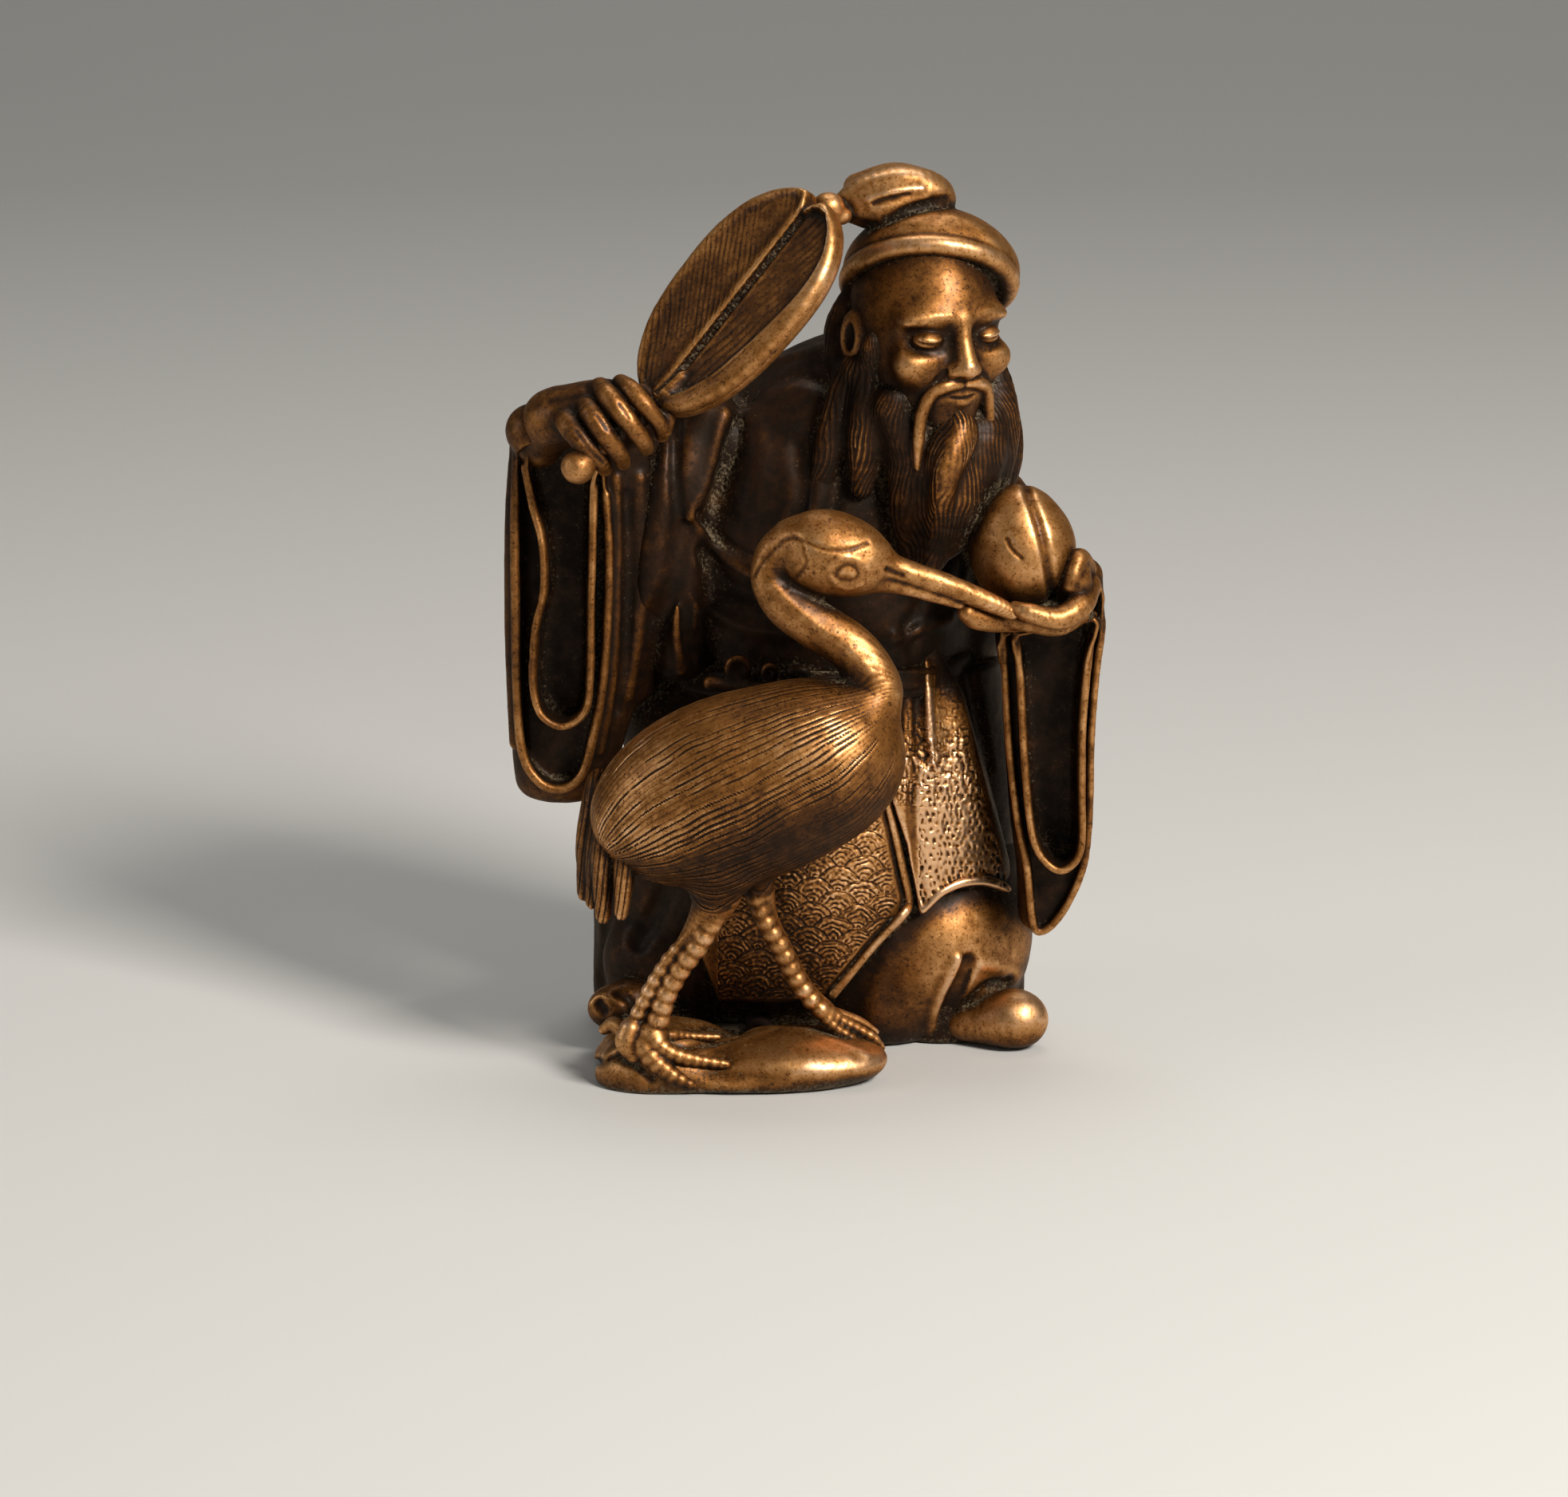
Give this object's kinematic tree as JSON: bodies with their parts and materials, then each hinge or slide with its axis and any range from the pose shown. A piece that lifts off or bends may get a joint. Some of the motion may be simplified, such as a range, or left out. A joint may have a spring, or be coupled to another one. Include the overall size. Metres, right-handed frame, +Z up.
{
  "type": "okimono carving",
  "caption": "Small cast-metal ornament of a bearded sage with a leaf fan and a peach, standing behind a crane on a rock.",
  "frame": {"origin": "middle of the footprint's bounding box, on the floor", "axes": "+Z up, the front of the figure looks along -Y, +X to the viewer's right"},
  "size_m": [0.0367, 0.0285, 0.0559],
  "materials": {
    "bright_bronze": "worn orange-gold patina, satin",
    "brown_bronze": "brown patina, satin",
    "dark_bronze": "dark brown patina with dust, satin",
    "pin_brass": "plain drawn brass"
  },
  "bodies": {
    "root": {"rock_base": "bright_bronze", "crane_body": "bright_bronze", "crane_tail": "brown_bronze", "crane_leg_near": "bright_bronze", "crane_leg_far": "bright_bronze", "skirt": "brown_bronze", "left_shoe": "bright_bronze", "right_shoe": "brown_bronze", "coat": "dark_bronze", "sash": "brown_bronze", "right_sleeve": "dark_bronze", "left_sleeve": "dark_bronze", "right_hand": "brown_bronze", "left_hand": "bright_bronze", "fan": "brown_bronze", "peach": "bright_bronze", "head": "brown_bronze", "cap": "bright_bronze", "waist_dowel": "pin_brass", "base_dowel": "pin_brass", "crane_dowel": "pin_brass", "neck_pin": "pin_brass", "sleeve_pins": "pin_brass"}
  },
  "joints": []
}
